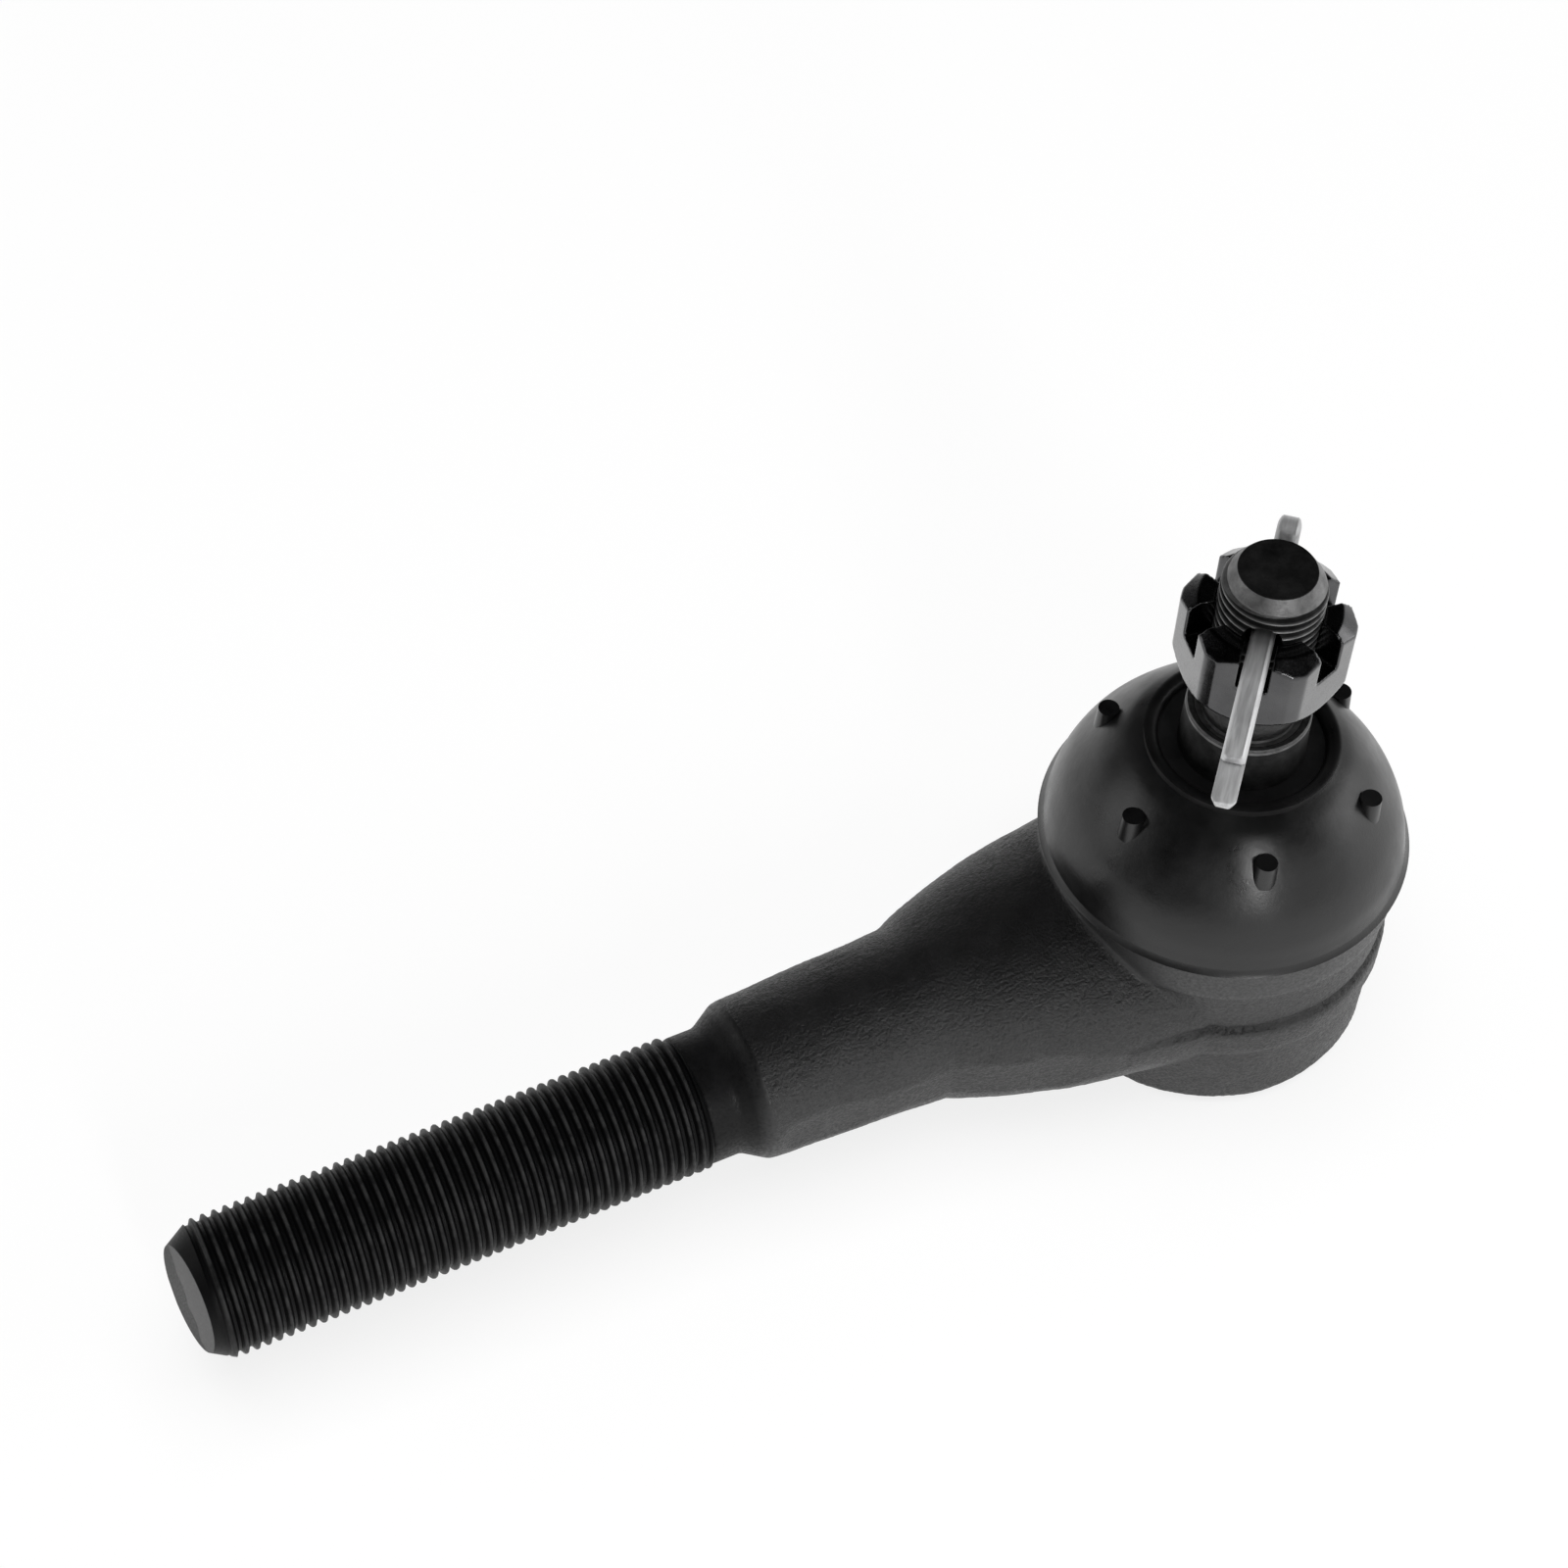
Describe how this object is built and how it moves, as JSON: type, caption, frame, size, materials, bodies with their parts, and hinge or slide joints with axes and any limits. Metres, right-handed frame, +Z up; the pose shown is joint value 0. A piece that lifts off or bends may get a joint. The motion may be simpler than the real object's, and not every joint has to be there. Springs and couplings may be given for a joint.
{
  "type": "tie rod end",
  "caption": "Outer tie rod end: threaded shank and forged socket with a preloaded ball stud, dust boot, castle nut and cotter pin.",
  "frame": {"origin": "mouth of the grease port, on the ball stud's axis, in the plane of the socket's flat underside", "axes": "+Z up along the ball stud at rest, -X along the threaded shank"},
  "size_m": [0.1641, 0.0461, 0.0791],
  "materials": {
    "black_forging": "satin black paint over forged steel",
    "bearing_metal": "sintered iron bearing",
    "spring_steel": "hardened spring steel",
    "stamped_steel": "phosphated pressed steel",
    "boot_rubber": "satin black moulded rubber",
    "stud_steel": "machined and oiled steel",
    "nut_steel": "phosphated steel",
    "pin_zinc": "bright zinc plate"
  },
  "bodies": {
    "housing": {"socket_housing": "black_forging", "upper_bearing": "bearing_metal", "lower_bearing": "bearing_metal", "preload_spring": "spring_steel", "cover_plate": "stamped_steel", "boot_retainer": "stamped_steel"},
    "boot": {"dust_boot": "boot_rubber"},
    "boot_top": {"boot_washer": "stamped_steel"},
    "stud": {"ball_stud": "stud_steel"},
    "nut": {"castle_nut": "nut_steel"},
    "pin": {"cotter_pin": "pin_zinc"}
  },
  "joints": [
    {"name": "boot_turn", "type": "hinge", "parent": "housing", "child": "boot", "pos_m": [0, 0, 0.017], "axis": [0, 0, 1], "continuous": true},
    {"name": "stud_tilt", "type": "hinge", "parent": "boot", "child": "boot_top", "pos_m": [0, 0, 0.017], "axis": [0, 1, 0], "range_deg": [-20, 20], "deforming": ["dust_boot"]},
    {"name": "stud_spin", "type": "hinge", "parent": "boot_top", "child": "stud", "pos_m": [0, 0, 0.017], "axis": [0, 0, 1], "continuous": true},
    {"name": "nut_turn", "type": "hinge", "parent": "stud", "child": "nut", "pos_m": [0, 0, 0.0611], "axis": [0, 0, 1], "range_deg": [-2, 2]},
    {"name": "pin_slide", "type": "slide", "parent": "stud", "child": "pin", "axis": [0.6587, 0.7524, 0], "range_m": [0, 0.046]}
  ]
}
